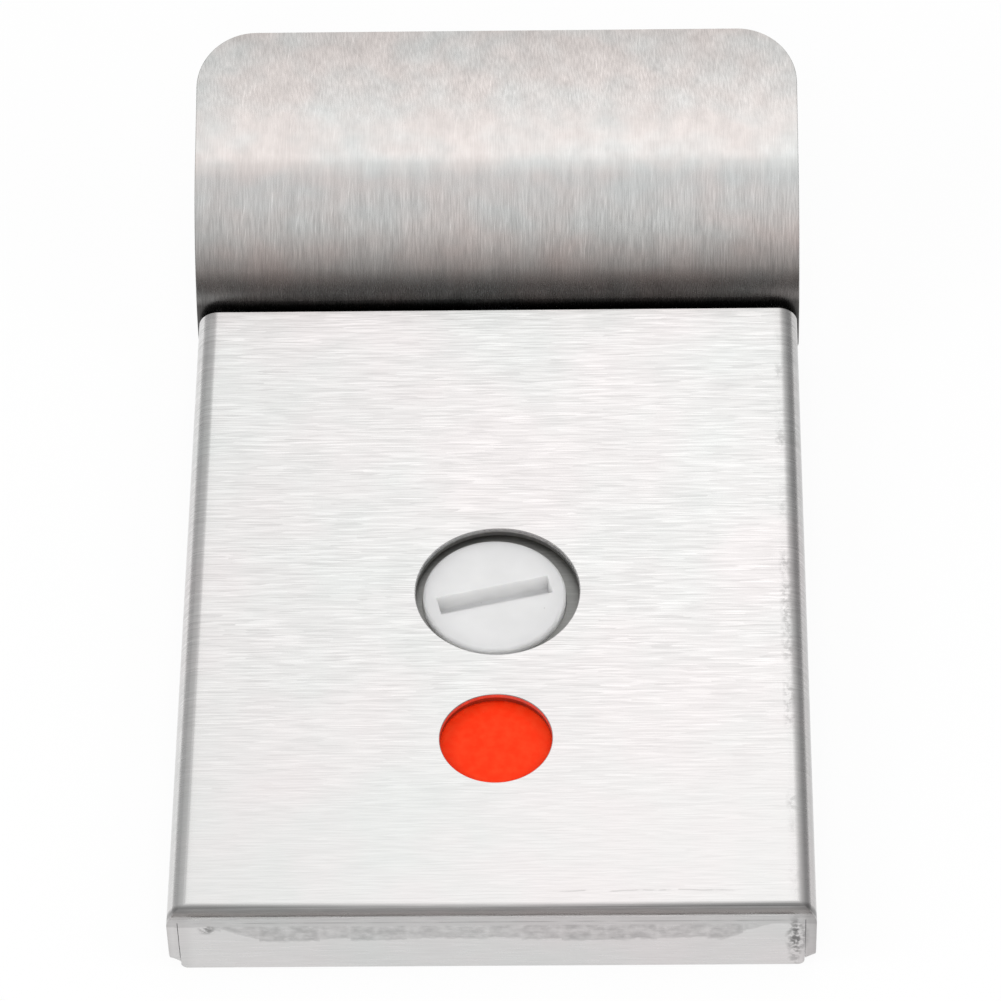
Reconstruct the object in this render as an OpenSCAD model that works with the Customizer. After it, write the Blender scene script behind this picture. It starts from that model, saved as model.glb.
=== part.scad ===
// Outside plate of a toilet indicator bolt: a folded stainless cover with a coin release and an
// indicator window, on a back plate whose rear end curls out of the door as a finger pull.
// The release turns about the Z axis, the door's face is Z = 0 and the pull is at +Y.

/* [Cover] */
// Width over the two side flanges
cover_w = 60; // [56:0.5:80]
// Distance from the front fixing to the cover's front edge
front_margin = 7.6; // [6:0.1:20]
// Distance from the rear fixing to the cover's rear edge
rear_margin = 5.8; // [5.5:0.1:20]
// Height of the cover's face above the door
cover_h = 8.3; // [8:0.1:14]
// Thickness of the cover's sheet
cover_t = 1; // [0.8:0.1:1.4]
// Inside radius of the bends along the two sides
side_bend_in = 1; // [0.5:0.1:2]
// Inside radius of the bend along the front
front_bend_in = 0.4; // [0.2:0.1:2]
// Width of the open seam at each front corner
seam_gap = 0.2; // [0.1:0.05:0.5]
// Corner radius at the foot of the side flanges
side_foot_r = 2.5; // [0.5:0.1:4]
// Corner radius at the foot of the front flange
front_foot_r = 0.6; // [0.2:0.1:3]
// Diameter of the hole round the coin release
release_hole_d = 15.8; // [15.2:0.1:18]
// Diameter of the indicator window
window_d = 10.6; // [8:0.1:12]
// Distance from the release's axis to the middle of the window
window_pitch = 18.1; // [17.5:0.1:20]
// How far the two punched holes lie to the right of the release's axis
hole_shift = 0.3; // [0:0.05:0.5]

/* [Pull plate] */
// Thickness of the back plate and pull
plate_t = 1.5; // [1.2:0.1:2]
// How far the pull stands wider than the cover on each side
pull_proud = 0.25; // [0:0.05:1]
// Gap between the cover's rear edge and the foot of the pull
pull_gap = 0.3; // [0.2:0.05:1]
// Inside radius of the bend at the foot of the pull
pull_foot_in = 0.8; // [0.5:0.1:2]
// Front radius of the pull's curl
pull_curl_r = 16.7; // [12:0.1:25]
// Rise of the pull's flat tip, in degrees
pull_tip_rise = 19.4; // [5:0.1:40]
// Length of the pull's flat tip
pull_tip_l = 14.4; // [10:0.1:25]
// Corner radius of the pull's tip
pull_tip_r = 6; // [2:0.1:9]
// Height of the pull's shoulders above the door
pull_shoulder_h = 1.2; // [0.6:0.1:3]
// Corner radius of the pull's shoulders
pull_shoulder_r = 1.4; // [0.5:0.1:2]
// Corner radius of the back plate
plate_corner_r = 2; // [0.5:0.1:4]
// Side clearance between the back plate and the cover's flanges
plate_clear = 0.3; // [0.2:0.05:0.6]

/* [Fixings] */
// Distance between the two through-door fixings
fixing_pitch = 62; // [60:0.5:64]
// Tapped bore of a fixing nut
fixing_bore_d = 4.2; // [3.3:0.1:5]
// Diameter of a fixing nut's head
fixing_head_d = 8.4; // [8:0.1:10]
// Diameter of a fixing nut's clinched spigot
fixing_spigot_d = 6.6; // [6:0.1:7.4]
// Height of a fixing nut above the back plate
fixing_head_h = 3.5; // [2.5:0.1:4]
// Diameter of a cover pillar
pillar_d = 5.5; // [5:0.1:7]
// Distance from the cover's edges to the middle of a pillar
pillar_inset = 6.2; // [5:0.1:8]
// Tapped bore of a cover pillar
pillar_bore_d = 2.5; // [2:0.1:3]
// Depth of a pillar's bore
pillar_bore_l = 4.2; // [3:0.1:4.6]
// Head diameter of a cover screw
screw_head_d = 5.4; // [4.8:0.1:5.6]
// Length of a cover screw
screw_l = 5; // [3.5:0.1:5.2]
// Width across flats of a cover screw's hexagon socket
screw_hex = 2; // [1.5:0.1:2.5]
// Depth of a cover screw's hexagon socket
screw_hex_l = 0.9; // [0.5:0.1:1.2]

/* [Release] */
// Angle of the coin slot as drawn: 0 shows engaged and 90 shows vacant
slot_angle = 14; // [0:1:90]
// Diameter of the release's button
button_d = 13.8; // [13:0.1:15]
// Depth of the button below the cover's face
button_drop = 0.55; // [0.2:0.05:1]
// Edge radius of the button
button_edge = 0.35; // [0.1:0.05:0.8]
// Length of the coin slot
slot_l = 11; // [9:0.1:12]
// Width of the coin slot
slot_w = 2.1; // [1.6:0.1:2.4]
// Depth of the coin slot
slot_depth = 2.1; // [1.4:0.1:2.3]
// Thickness of the release's flange
flange_t = 1.2; // [1:0.1:2]
// Diameter of the release's flange
flange_d = 23; // [22.6:0.1:24]
// Diameter of the release's hub
hub_d = 12; // [11.4:0.1:12.6]
// Outside width of the square drive follower
follower_w = 7.2; // [6.8:0.1:7.4]
// Width of the follower's square socket
socket_w = 5.1; // [4.5:0.1:5.4]
// Length of the drive follower
follower_l = 4.3; // [4.1:0.1:4.4]
// Height of the hub and follower above the door
hub_lift = 0.3; // [0.1:0.05:0.5]

/* [Indicator] */
// Thickness of the indicator disc
disc_t = 1; // [0.8:0.1:1.2]
// Thickness of the two colour labels
label_t = 0.1; // [0.05:0.05:0.2]
// Sector of each label, in degrees
label_sector = 84; // [70:1:88]
// Margin of a label round the window
label_margin = 0.5; // [0.2:0.05:1]
// Rim of the disc outside the labels
disc_rim = 0.3; // [0.1:0.05:1]
// Number of rivets that hold the disc on the release
rivet_count = 3; // [3:1:6]
// Shank diameter of a disc rivet
rivet_d = 1.6; // [1.2:0.1:1.8]
// Head diameter of a disc rivet
rivet_head_d = 2.6; // [2.2:0.1:2.8]
// Height of a disc rivet's formed end
rivet_end_h = 0.4; // [0.2:0.05:0.5]
// Travel of the release from engaged to vacant, in degrees
travel = 90; // [80:1:90]
// Distance from the release's axis to the stop pin
stop_pitch = 17; // [16:0.1:18]
// Diameter of the stop pin
stop_d = 3; // [2.4:0.1:3.4]
// Diameter of the stop pin's riveted end
stop_rivet_d = 2.4; // [1.8:0.1:2.6]
// Clearance round the stop pin in the disc's slot
stop_clear = 0.3; // [0.2:0.05:0.5]
// How far the slot's drilled ends stand wider than the slot on each side
stop_relief = 0.15; // [0.1:0.05:0.3]

/* [Bearing] */
// Thickness of the glide washer between the cover and the disc
glide_t = 0.4; // [0.3:0.05:0.6]
// Ring width of the glide washer
glide_w = 2.4; // [2:0.1:2.8]
// Diameter of the pivot bush in the back plate
bush_d = 15; // [14.4:0.1:16]
// Diameter of the pivot bush's collar
collar_d = 18; // [17:0.1:20]
// Thickness of the thrust washer
thrust_t = 0.5; // [0.3:0.05:0.8]
// Working height of the wave washer
wave_h = 1.5; // [1.1:0.05:1.6]
// Thickness of the wave washer
wave_t = 0.35; // [0.2:0.05:0.5]
// Ring width of the thrust and wave washers
ring_w = 2; // [1.6:0.1:2.2]
// Number of waves in the wave washer
wave_count = 3; // [2:1:4]

/* [Clearances] */
// Radial clearance of a turning fit
turn_clear = 0.05; // [0.02:0.01:0.08]
// Radial clearance of a fixed fit
fix_clear = 0.02; // [0.01:0.01:0.05]
// Clearance between sliding flat faces
slide_clear = 0.05; // [0.02:0.01:0.1]

/* [Hidden] */
$fn = 96;
over = 1;

cover_front = fixing_pitch / 2 + front_margin;
cover_rear = fixing_pitch / 2 + rear_margin;
side_bend_r = side_bend_in + cover_t;
front_bend_r = front_bend_in + cover_t;
cover_under = cover_h - cover_t;
inner_w = cover_w - 2 * cover_t;

plate_w = inner_w - 2 * plate_clear;
plate_front = cover_front - cover_t - plate_clear;
pull_w = cover_w + 2 * pull_proud;
pull_y = cover_rear + pull_gap;
pull_z = plate_t + pull_foot_in;
pull_bend_y = pull_y - pull_foot_in;
curl_y = pull_y + pull_curl_r;

disc_z = cover_under - glide_t - slide_clear - disc_t;
label_in = window_pitch - window_d / 2 - label_margin;
label_out = window_pitch + window_d / 2 + label_margin;
disc_r = label_out + disc_rim;
flange_z = disc_z - flange_t;
button_z = cover_h - button_drop;
rivet_pitch = flange_d / 2 - rivet_head_d / 2 - disc_rim;
glide_in = release_hole_d / 2 + hole_shift + label_margin;
ring_in = hub_d / 2 + turn_clear + ring_w / 5;
wave_z = flange_z - slide_clear - wave_h;
collar_z = wave_z - thrust_t;
stop_turn = travel - slot_angle;

pillar_x = cover_w / 2 - pillar_inset;
pillar_sites = [
    [-pillar_x, pillar_inset - cover_front],
    [pillar_x, pillar_inset - cover_front],
    [-pillar_x, cover_rear - pillar_inset],
    [pillar_x, cover_rear - pillar_inset]
];
pillar_names = [
    "front_left_pillar",
    "front_right_pillar",
    "rear_left_pillar",
    "rear_right_pillar"
];
fixing_names = ["front_fixing_nut", "rear_fixing_nut"];

// A flat sector between two radii and two angles up to 90 degrees apart
module ring_sector(r_in, r_out, from, to) {
    far = 2 * r_out;
    intersection() {
        difference() {
            circle(r_out);
            circle(r_in);
        }
        rotate(from)
            square(far);
        rotate(to - 90)
            square(far);
    }
}

// A plain ring standing on the height z
module washer(r_in, r_out, z, h) {
    translate([0, 0, z])
        difference() {
            cylinder(r = r_out, h = h);
            translate([0, 0, -over])
                cylinder(r = r_in, h = h + 2 * over);
        }
}

// Extrudes a Y-Z outline along X, centred on the width w
module across(w) {
    translate([-w / 2, 0, 0])
        rotate([90, 0, 90])
            linear_extrude(w)
                children();
}

// What a corner radius r removes from a square corner at the origin, in the quarter x, y < 0
module corner_cut(r, h) {
    translate([0, 0, -over])
        difference() {
            translate([-r, -r, 0])
                cube([r + over, r + over, h + 2 * over]);
            translate([-r, -r, -over])
                cylinder(r = r, h = h + 4 * over);
        }
}

// A block with rounded side and front bends, open at the rear, from the height z up to the height h
module tray(w, front, rear, z, h, side_r, front_r) {
    intersection() {
        translate([0, rear, 0])
            rotate([90, 0, 0])
                linear_extrude(front + rear)
                    union() {
                        translate([-w / 2, z])
                            square([w, h - z - side_r]);
                        translate([side_r - w / 2, z])
                            square([w - 2 * side_r, h - z]);
                        for (side = [-1, 1])
                            translate([side * (w / 2 - side_r), h - side_r])
                                circle(side_r);
                    }
        across(w + 2 * over)
            union() {
                translate([-front, z])
                    square([front + rear, h - z - front_r]);
                translate([front_r - front, z])
                    square([front + rear - front_r, h - z]);
                translate([front_r - front, h - front_r])
                    circle(front_r);
            }
    }
}

// Folded sheet cover: face, two side flanges and a front flange between them
module cover() {
    flange_x = inner_w / 2 - seam_gap;
    color("gainsboro")
        difference() {
            tray(cover_w, cover_front, cover_rear, 0, cover_h, side_bend_r, front_bend_r);
            tray(inner_w, cover_front - cover_t, cover_rear + over, -over, cover_under,
                side_bend_in, front_bend_in);
            translate([hole_shift, 0, 0])
                cylinder(d = release_hole_d, h = cover_h + over);
            translate([hole_shift, -window_pitch, 0])
                cylinder(d = window_d, h = cover_h + over);
            for (side = [0, 1])
                mirror([side, 0, 0]) {
                    translate([flange_x, -cover_front - over, -over])
                        cube([seam_gap, cover_t + 2 * over, cover_h - front_bend_r + over]);
                    translate([inner_w / 2 - seam_gap / 2, -cover_front, 0])
                        rotate([90, 180, 90])
                            corner_cut(side_foot_r, cover_t);
                    translate([flange_x, -cover_front, 0])
                        rotate([-90, 0, 0])
                            corner_cut(front_foot_r, cover_t);
                }
        }
}

// Tapped pillar welded under the cover, one for each site
module cover_pillar(site) {
    color("silver")
        translate([pillar_sites[site][0], pillar_sites[site][1], plate_t])
            difference() {
                cylinder(d = pillar_d, h = cover_under - plate_t);
                translate([0, 0, -over])
                    cylinder(d = pillar_bore_d, h = pillar_bore_l + over);
            }
}

// Head and shank of a countersunk screw, point up, grown by a clearance
module countersunk(head_d, shank_d, l, clear) {
    head_h = (head_d - shank_d) / 2;
    rotate_extrude()
        polygon([
            [0, 0],
            [head_d / 2 + clear, 0],
            [shank_d / 2 + clear, head_h],
            [shank_d / 2 + clear, l],
            [0, l]
        ]);
}

// The bent sheet at a width w: back plate, foot bend, curl and flat tip
module pull_sheet(w) {
    across(w)
        translate([-plate_front, 0])
            square([plate_front + pull_bend_y, plate_t]);
    across(w)
        translate([pull_bend_y, pull_z])
            ring_sector(pull_foot_in, pull_foot_in + plate_t, -90, 0);
    across(w)
        translate([curl_y, pull_z])
            ring_sector(pull_curl_r - plate_t, pull_curl_r, 90 + pull_tip_rise, 180);
    across(w)
        translate([curl_y, pull_z])
            rotate(pull_tip_rise)
                translate([0, pull_curl_r - plate_t])
                    square([pull_tip_l, plate_t]);
}

// Outline of the wide part of the pull, seen along Y
module pull_front() {
    top = pull_z + pull_curl_r + pull_tip_l;
    difference() {
        translate([-pull_w / 2, pull_shoulder_h])
            square([pull_w, top]);
        for (side = [0, 1])
            mirror([side, 0])
                translate([pull_w / 2 - pull_shoulder_r, pull_shoulder_h + pull_shoulder_r])
                    difference() {
                        translate([0, -pull_shoulder_r - over])
                            square([pull_shoulder_r + over, pull_shoulder_r + over]);
                        circle(pull_shoulder_r);
                    }
    }
}

// Back plate and finger pull, bent from one sheet
module pull_plate() {
    reach = pull_curl_r + pull_tip_l;
    color("lightgray")
        difference() {
            union() {
                pull_sheet(plate_w);
                intersection() {
                    pull_sheet(pull_w);
                    translate([0, pull_y + reach, 0])
                        rotate([90, 0, 0])
                            linear_extrude(reach)
                                pull_front();
                }
            }
            for (side = [0, 1])
                mirror([side, 0, 0]) {
                    translate([0, curl_y, pull_z])
                        rotate([pull_tip_rise, 0, 0])
                            translate([pull_w / 2, pull_tip_l, pull_curl_r - plate_t])
                                corner_cut(pull_tip_r, plate_t);
                    translate([plate_w / 2, -plate_front, 0])
                        mirror([0, 1, 0])
                            corner_cut(plate_corner_r, plate_t);
                }
            translate([0, 0, -over])
                cylinder(d = bush_d + 2 * fix_clear, h = plate_t + 2 * over);
            translate([0, stop_pitch, -over])
                cylinder(d = stop_rivet_d + 2 * fix_clear, h = plate_t + 2 * over);
            for (side = [-1, 1])
                translate([0, side * fixing_pitch / 2, -over])
                    cylinder(d = fixing_spigot_d + 2 * fix_clear, h = plate_t + 2 * over);
            for (site = pillar_sites)
                translate([site[0], site[1], 0])
                    countersunk(screw_head_d, pillar_bore_d, screw_l, fix_clear);
        }
}

// The four countersunk screws that hold the back plate to the pillars
module cover_screws() {
    color("darkgray")
        for (site = pillar_sites)
            translate([site[0], site[1], 0])
                difference() {
                    countersunk(screw_head_d, pillar_bore_d, screw_l, -fix_clear);
                    translate([0, 0, -over])
                        cylinder(d = screw_hex / cos(30), h = screw_hex_l + over, $fn = 6);
                }
}

// Clinched nut for a through-door fixing: 0 at the front, 1 at the rear
module fixing_nut(end) {
    color("silver")
        translate([0, (2 * end - 1) * fixing_pitch / 2, 0])
            difference() {
                union() {
                    cylinder(d = fixing_spigot_d, h = plate_t);
                    translate([0, 0, plate_t])
                        cylinder(d = fixing_head_d, h = fixing_head_h);
                }
                translate([0, 0, -over])
                    cylinder(d = fixing_bore_d, h = plate_t + fixing_head_h + 2 * over);
            }
}

// Shouldered pin riveted in the back plate, which ends the release's travel
module stop_pin() {
    color("silver")
        translate([0, stop_pitch, 0]) {
            cylinder(d = stop_rivet_d, h = plate_t);
            translate([0, 0, plate_t])
                cylinder(d = stop_d, h = disc_z + disc_t - plate_t);
        }
}

// Plastic bush pressed into the back plate, with a collar under the washers
module pivot_bush() {
    color("white")
        difference() {
            union() {
                translate([0, 0, hub_lift])
                    cylinder(d = bush_d, h = plate_t - hub_lift);
                translate([0, 0, plate_t])
                    cylinder(d = collar_d, h = collar_z - plate_t);
            }
            translate([0, 0, -over])
                cylinder(d = hub_d + 2 * turn_clear, h = collar_z + 2 * over);
        }
}

// Flat washer that the wave washer stands on
module thrust_washer() {
    color("silver")
        washer(ring_in, ring_in + ring_w, collar_z, thrust_t);
}

// Sprung washer whose friction holds the release where it is left
module wave_washer() {
    steps = 24 * wave_count;
    swing = (wave_h - wave_t) / 2;
    mid = wave_z + wave_h / 2;
    // Corners of the ring's section in turn: inner low, outer low, outer high, inner high
    radii = [ring_in, ring_in + ring_w, ring_in + ring_w, ring_in];
    lifts = [-wave_t / 2, -wave_t / 2, wave_t / 2, wave_t / 2];
    points = [
        for (i = [0 : steps - 1])
            let (a = 360 * i / steps, z = mid + swing * cos(wave_count * a))
                for (k = [0 : 3])
                    [radii[k] * cos(a), radii[k] * sin(a), z + lifts[k]]
    ];
    faces = [
        for (i = [0 : steps - 1])
            let (n = (i + 1) % steps)
                for (k = [0 : 3])
                    let (m = (k + 1) % 4)
                        each [
                            [4 * i + k, 4 * i + m, 4 * n + m],
                            [4 * i + k, 4 * n + m, 4 * n + k]
                        ]
    ];
    color("slategray")
        polyhedron(points, faces);
}

// Low-friction washer between the disc and the underside of the cover
module glide_washer() {
    color("ivory")
        washer(glide_in, glide_in + glide_w, cover_under - glide_t, glide_t);
}

// Turned part with a rounded upper edge, from the height z up to the height top
module button(r, z, top, edge) {
    rotate_extrude() {
        translate([0, z])
            square([r - edge, top - z]);
        translate([0, z])
            square([r, top - z - edge]);
        translate([r - edge, top - edge])
            circle(edge);
    }
}

// Moulded release: button with a coin slot, flange and hub
module release_turn() {
    floor_r = slot_w / 2;
    color("white")
        rotate(slot_angle)
            difference() {
                union() {
                    button(button_d / 2, flange_z, button_z, button_edge);
                    translate([0, 0, flange_z])
                        cylinder(d = flange_d, h = flange_t);
                    translate([0, 0, hub_lift])
                        cylinder(d = hub_d, h = flange_z - hub_lift + flange_t / 2);
                }
                translate([-slot_l / 2, 0, button_z - slot_depth + floor_r])
                    rotate([0, 90, 0])
                        cylinder(r = floor_r, h = slot_l);
                translate([-slot_l / 2, -slot_w / 2, button_z - slot_depth + floor_r])
                    cube([slot_l, slot_w, slot_depth + over]);
                translate([-follower_w / 2 - fix_clear, -follower_w / 2 - fix_clear, -over])
                    cube([
                        follower_w + 2 * fix_clear,
                        follower_w + 2 * fix_clear,
                        hub_lift + follower_l + over
                    ]);
                rivet_places()
                    translate([0, 0, flange_z - over])
                        cylinder(d = rivet_d + 2 * fix_clear, h = flange_t + 2 * over);
            }
}

// Steel follower with the square socket that the bolt's spindle turns
module drive_follower() {
    color("dimgray")
        rotate(slot_angle)
            translate([0, 0, hub_lift])
                difference() {
                    translate([-follower_w / 2, -follower_w / 2, 0])
                        cube([follower_w, follower_w, follower_l]);
                    translate([-socket_w / 2, -socket_w / 2, -over])
                        cube([socket_w, socket_w, follower_l + 2 * over]);
                }
}

// Repeats its children at each rivet
module rivet_places() {
    for (i = [0 : rivet_count - 1])
        rotate(360 * i / rivet_count + 30)
            translate([rivet_pitch, 0, 0])
                children();
}

// Disc on the release, with a curved slot for the stop pin
module indicator_disc() {
    slot_r = stop_d / 2 + stop_clear;
    color("silver")
        difference() {
            translate([0, 0, disc_z])
                cylinder(r = disc_r, h = disc_t);
            translate([0, 0, disc_z - over])
                cylinder(d = button_d + 2 * turn_clear, h = disc_t + 2 * over);
            translate([0, 0, disc_z - over])
                linear_extrude(disc_t + 2 * over)
                    ring_sector(stop_pitch - slot_r, stop_pitch + slot_r, 90 - stop_turn,
                        90 + slot_angle);
            for (a = [-stop_turn, slot_angle])
                rotate(a)
                    translate([0, stop_pitch, disc_z - over])
                        cylinder(r = slot_r + stop_relief, h = disc_t + 2 * over);
            rotate(slot_angle)
                rivet_places()
                    translate([0, 0, disc_z + disc_t])
                        mirror([0, 0, 1])
                            countersunk(rivet_head_d, rivet_d, disc_t + over, fix_clear);
        }
}

// Flush rivets that hold the disc on the release's flange
module disc_rivets() {
    stack = disc_t + flange_t;
    color("lightgray")
        rotate(slot_angle)
            rivet_places() {
                translate([0, 0, disc_z + disc_t])
                    mirror([0, 0, 1])
                        countersunk(rivet_head_d, rivet_d, stack, 0);
                translate([0, 0, flange_z - rivet_end_h])
                    cylinder(d = rivet_head_d, h = rivet_end_h);
            }
}

// Colour label on the disc, centred on an angle from the window
module label(turned) {
    translate([0, 0, disc_z + disc_t])
        linear_extrude(label_t)
            rotate(turned - 90)
                ring_sector(label_in, label_out, -label_sector / 2, label_sector / 2);
}

// Red label, behind the window when the bolt is engaged
module engaged_label() {
    color("orangered")
        label(slot_angle);
}

// Green label, behind the window when the bolt is drawn back
module vacant_label() {
    color("seagreen")
        label(-stop_turn);
}

cover();
for (i = [0 : 3])
    cover_pillar(i);
pull_plate();
cover_screws();
for (i = [0 : 1])
    fixing_nut(i);
stop_pin();
pivot_bush();
thrust_washer();
wave_washer();
glide_washer();
release_turn();
drive_follower();
indicator_disc();
disc_rivets();
engaged_label();
vacant_label();
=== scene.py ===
import math

import bmesh
import bpy
from mathutils import Matrix, Vector


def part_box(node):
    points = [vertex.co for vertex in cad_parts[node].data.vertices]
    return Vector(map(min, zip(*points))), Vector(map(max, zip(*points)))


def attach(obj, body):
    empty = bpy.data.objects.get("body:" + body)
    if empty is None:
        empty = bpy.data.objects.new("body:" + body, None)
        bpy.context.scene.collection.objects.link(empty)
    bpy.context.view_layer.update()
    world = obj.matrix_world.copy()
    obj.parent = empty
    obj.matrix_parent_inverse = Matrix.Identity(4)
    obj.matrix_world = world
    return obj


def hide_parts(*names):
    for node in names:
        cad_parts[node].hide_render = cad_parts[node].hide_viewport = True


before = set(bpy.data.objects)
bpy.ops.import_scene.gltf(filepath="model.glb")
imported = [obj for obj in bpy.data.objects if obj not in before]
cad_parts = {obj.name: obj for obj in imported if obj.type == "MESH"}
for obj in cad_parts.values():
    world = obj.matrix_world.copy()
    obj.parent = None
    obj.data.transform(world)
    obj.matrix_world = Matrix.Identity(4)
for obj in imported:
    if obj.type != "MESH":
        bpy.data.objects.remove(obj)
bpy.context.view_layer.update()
bpy.ops.object.select_all(action="DESELECT")


# Pull plate: one strip of 1.5 mm stainless sheet. The blank is cut with small ears and round corners,
# ground along its length on a belt, then bent up at a sharp foot and rolled back into a lip for the
# fingers. Its flat tip is rubbed to a dull polish by hand.

MM = 0.001  # pieces are modelled in millimetres and set to metres when they are done
NEAR = 0.01  # how close to a face or line a point lies that counts as on it
SHARP = math.radians(40)  # an edge that turns more than this is broken
PAST = 1.0  # how far a cutting tool reaches past what it cuts


def pick(kind, test):
    """In edit mode, selects only the verts, edges or faces that pass the test of (item, its middle)."""
    bpy.ops.mesh.select_mode(type={"verts": "VERT", "edges": "EDGE", "faces": "FACE"}[kind])
    bpy.ops.mesh.select_all(action="DESELECT")
    shape = bmesh.from_edit_mesh(bpy.context.edit_object.data)
    for item in getattr(shape, kind):
        corners = [item.co] if kind == "verts" else [v.co for v in item.verts]
        item.select_set(bool(test(item, sum(corners, Vector()) / len(corners))))
    shape.select_flush_mode()
    bmesh.update_edit_mesh(bpy.context.edit_object.data)


def score(place, normal):
    """In edit mode, cuts an edge line right across the selected faces."""
    bpy.ops.mesh.bisect(plane_co=place, plane_no=normal)


def apply(piece, kind, **settings):
    """Adds one modifier with these settings and applies it."""
    bpy.context.view_layer.objects.active = piece
    modifier = piece.modifiers.new(kind.lower(), kind)
    for name, value in settings.items():
        setattr(modifier, name, value)
    bpy.ops.object.modifier_apply(modifier=modifier.name)


def cut(piece, tool, operation="DIFFERENCE"):
    """Cuts the piece with a tool body, or keeps what both share, and removes the tool."""
    apply(piece, "BOOLEAN", object=tool, operation=operation, solver="EXACT")
    bpy.data.objects.remove(tool)


def drill(piece, x, y, low, high, radius, top_radius=None):
    """Cuts a round or tapered hole along Z."""
    bpy.ops.mesh.primitive_cone_add(
        vertices=96,
        radius1=radius,
        radius2=radius if top_radius is None else top_radius,
        depth=high - low,
        location=(x, y, (low + high) / 2),
    )
    bpy.ops.object.transform_apply()
    cut(piece, bpy.context.object)


def select_only(piece):
    """Makes this piece the one selected and active object."""
    bpy.ops.object.select_all(action="DESELECT")
    piece.select_set(True)
    bpy.context.view_layer.objects.active = piece


def to_metres(piece):
    """Sets a piece that was modelled in millimetres to the frame's metres, at the origin."""
    select_only(piece)
    piece.scale = (MM, MM, MM)
    bpy.ops.object.transform_apply(location=False, rotation=False, scale=True)


def soften(piece, width, spare=lambda at: False):
    """Breaks the sharp edges, save those to spare, and shades the rest smooth with flat faces kept flat."""
    select_only(piece)
    bpy.ops.object.mode_set(mode="EDIT")
    pick("edges", lambda e, at: e.calc_face_angle(0) > SHARP and not spare(at))
    bpy.ops.mesh.bevel(offset=width, segments=2, clamp_overlap=False)
    bpy.ops.object.mode_set(mode="OBJECT")
    bpy.ops.object.shade_smooth_by_angle(angle=SHARP)
    apply(piece, "WEIGHTED_NORMAL", mode="FACE_AREA", weight=50, keep_sharp=True)


cover_low, cover_high = (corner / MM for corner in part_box("cover"))
pull_low, pull_high = (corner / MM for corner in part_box("pull_plate"))
cover_t = 1.0
plate_t = 1.5
plate_gap = 0.3
plate_half = cover_high.x - cover_t - plate_gap
plate_corner = 2.0
plate_edge = 0.1
pull_half = pull_high.x
foot_r = 0.8
foot_z = plate_t + foot_r
wall_y = cover_high.y + plate_gap
foot_y = wall_y - foot_r
curl_r = 16.7
curl_y = wall_y + curl_r
tip_rise = math.radians(19.4)
curl_turn = math.radians(90) - tip_rise
tip_l = 14.4
tip_corner = 6.0
ear_z = 1.2
ear_corner = 1.4
ear_slit = 0.1

# Places along the flat blank, measured on its front face
wall_along = foot_y + foot_r * math.pi / 2
tip_along = wall_along + curl_r * curl_turn
end_along = tip_along + tip_l
ear_along = wall_along - (foot_z - ear_z)


def fold_pull(blank):
    """Where a point of the flat blank lies once the sheet is bent."""
    x, along = blank.x, blank.y
    if along <= foot_y:
        return Vector((x, along, plate_t))
    if along <= wall_along and abs(x) > plate_half + ear_slit / 2:
        return Vector((x, wall_y, foot_z - wall_along + along))
    if along <= wall_along:
        turn = (along - foot_y) / foot_r
        return Vector((x, foot_y + foot_r * math.sin(turn), foot_z - foot_r * math.cos(turn)))
    turn = min((along - wall_along) / curl_r, curl_turn)
    past = max(along - tip_along, 0)
    return Vector((
        x,
        curl_y - curl_r * math.cos(turn) + past * math.cos(tip_rise),
        foot_z + curl_r * math.sin(turn) + past * math.sin(tip_rise),
    ))


bpy.ops.mesh.primitive_plane_add(size=1)
pull = bpy.context.object
pull.name = "pull_plate_sheet"
bpy.ops.object.mode_set(mode="EDIT")
bpy.ops.transform.resize(value=(2 * pull_half, end_along - pull_low.y, 1))
bpy.ops.transform.translate(value=(0, (end_along + pull_low.y) / 2, 0))
pick("verts", lambda v, at: at.y > end_along - NEAR)
bpy.ops.mesh.bevel(offset=tip_corner, segments=16, affect="VERTICES")
bpy.ops.mesh.select_all(action="SELECT")
score((0, ear_along, 0), (0, 1, 0))
for side in (1, -1):
    pick("faces", lambda f, at: at.y < ear_along)
    score((side * plate_half, 0, 0), (1, 0, 0))
pick("faces", lambda f, at: at.y < ear_along and abs(at.x) > plate_half)
bpy.ops.mesh.delete(type="FACE")
pick("verts", lambda v, at: abs(at.y - ear_along) < NEAR and abs(at.x) > pull_half - NEAR)
bpy.ops.mesh.bevel(offset=ear_corner, segments=8, affect="VERTICES")
pick("verts", lambda v, at: at.y < pull_low.y + NEAR)
bpy.ops.mesh.bevel(offset=plate_corner, segments=8, affect="VERTICES")
foot_steps = 10
curl_steps = 56
folds = [foot_y + (wall_along - foot_y) * i / foot_steps for i in range(foot_steps)]
folds += [wall_along + (tip_along - wall_along) * i / curl_steps for i in range(curl_steps + 1)]
for along in folds:
    bpy.ops.mesh.select_all(action="SELECT")
    score((0, along, 0), (0, 1, 0))
for x in (plate_half, plate_half + ear_slit):
    for side in (1, -1):
        pick("faces", lambda f, at: ear_along < at.y < wall_along)
        score((side * x, 0, 0), (1, 0, 0))
pick("faces", lambda f, at: at.y < wall_along and plate_half < abs(at.x) < plate_half + ear_slit)
bpy.ops.mesh.delete(type="FACE")
bpy.ops.object.mode_set(mode="OBJECT")

blank_map = pull.data.uv_layers[0]
blank_map.name = "blank"
for loop in pull.data.loops:
    blank_map.data[loop.index].uv = pull.data.vertices[loop.vertex_index].co.xy
for vertex in pull.data.vertices:
    vertex.co = fold_pull(vertex.co)
apply(pull, "SOLIDIFY", thickness=plate_t, offset=-1, use_even_offset=True)

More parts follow.
